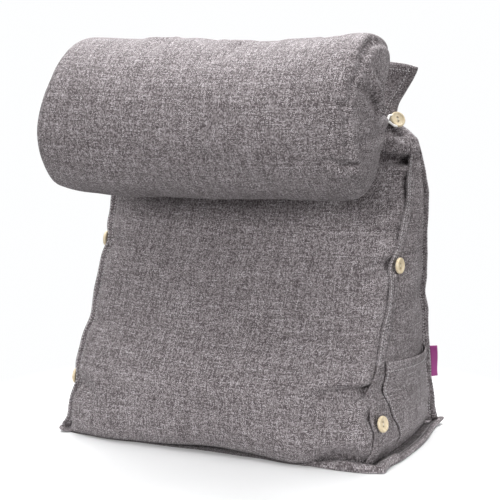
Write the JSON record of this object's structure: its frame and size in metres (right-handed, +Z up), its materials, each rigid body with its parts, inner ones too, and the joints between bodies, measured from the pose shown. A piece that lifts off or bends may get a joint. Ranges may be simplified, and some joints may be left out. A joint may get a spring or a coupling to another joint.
{
  "type": "wedge backrest cushion with neck bolster",
  "caption": "Upright wedge backrest cushion in slubby grey linen with turned-out stitched seams and a side pocket, and a round neck bolster hung on its side buttons by elastic loops.",
  "frame": {"origin": "centre of the wedge's base on the surface it stands on", "axes": "+Z up, -Y out of the sloped front panel, +X toward the side with the pocket"},
  "size_m": [0.4729, 0.3251, 0.532],
  "materials": {
    "linen": "slubby two-tone plain weave",
    "ribbon": "plain woven ribbon",
    "wood": "pale, smooth, lightly polished",
    "elastic": "white covered elastic cord"
  },
  "bodies": {
    "root": {"wedge_cushion": "linen", "neck_bolster": "linen", "pocket_right": "linen", "ribbon_tab": "ribbon", "button_right_top": "wood", "button_right_middle": "wood", "button_right_low": "wood", "button_left_top": "wood", "button_left_middle": "wood", "button_left_low": "wood", "loop_right": "elastic", "loop_left": "elastic"}
  },
  "joints": []
}
